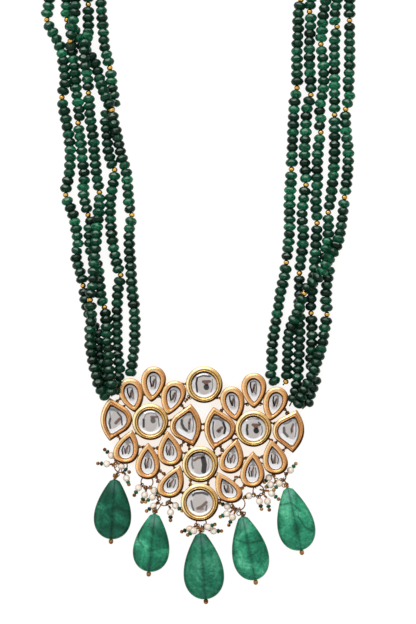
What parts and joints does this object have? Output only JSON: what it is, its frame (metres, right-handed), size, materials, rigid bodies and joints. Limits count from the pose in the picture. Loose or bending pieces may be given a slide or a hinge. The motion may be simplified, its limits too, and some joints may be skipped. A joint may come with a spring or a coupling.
{
  "type": "kundan pendant necklace, lying open",
  "caption": "Necklace of bead strings running to a broad pendant of foil-backed stones in linked gold settings, with pearl bunches and green pear drops below.",
  "frame": {"origin": "centre of the bounding box, on the plane that the necklace lies on", "axes": "+Y from the drops to the clasp, +Z out of the pendant's face, +X to the right seen from above"},
  "size_m": [0.1342, 0.323, 0.013],
  "materials": {
    "gold": "polished, gold plated",
    "wire": "drawn wire, gold plated",
    "stones": "foil-backed glass",
    "drops": "polished dyed quartz",
    "beads": "faceted glass",
    "pearls": "nacre"
  },
  "bodies": {
    "root": {"strand_1": "beads", "strand_2": "beads", "strand_3": "beads", "strand_4": "beads", "strand_5": "beads", "clasp": "gold", "round_setting_1": "gold", "round_setting_2": "gold", "round_setting_3": "gold", "round_setting_4": "gold", "round_setting_5": "gold", "pear_setting_1": "gold", "pear_setting_2": "gold", "pear_setting_3": "gold", "pear_setting_4": "gold", "pear_setting_5": "gold", "pear_setting_6": "gold", "pear_setting_7": "gold", "pear_setting_8": "gold", "pear_setting_9": "gold", "pear_setting_10": "gold", "pear_setting_11": "gold", "pear_setting_12": "gold", "pear_setting_13": "gold", "pear_setting_14": "gold", "fan_setting_1": "gold", "fan_setting_2": "gold", "fan_setting_3": "gold", "fan_setting_4": "gold", "round_stone_1": "stones", "round_stone_2": "stones", "round_stone_3": "stones", "round_stone_4": "stones", "round_stone_5": "stones", "pear_stone_1": "stones", "pear_stone_2": "stones", "pear_stone_3": "stones", "pear_stone_4": "stones", "pear_stone_5": "stones", "pear_stone_6": "stones", "pear_stone_7": "stones", "pear_stone_8": "stones", "pear_stone_9": "stones", "pear_stone_10": "stones", "pear_stone_11": "stones", "pear_stone_12": "stones", "pear_stone_13": "stones", "pear_stone_14": "stones", "fan_stone_1": "stones", "fan_stone_2": "stones", "fan_stone_3": "stones", "fan_stone_4": "stones", "drop_1": "drops", "drop_2": "drops", "drop_3": "drops", "drop_4": "drops", "drop_5": "drops", "links": "wire", "pearls": "pearls", "pins": "wire"}
  },
  "joints": []
}
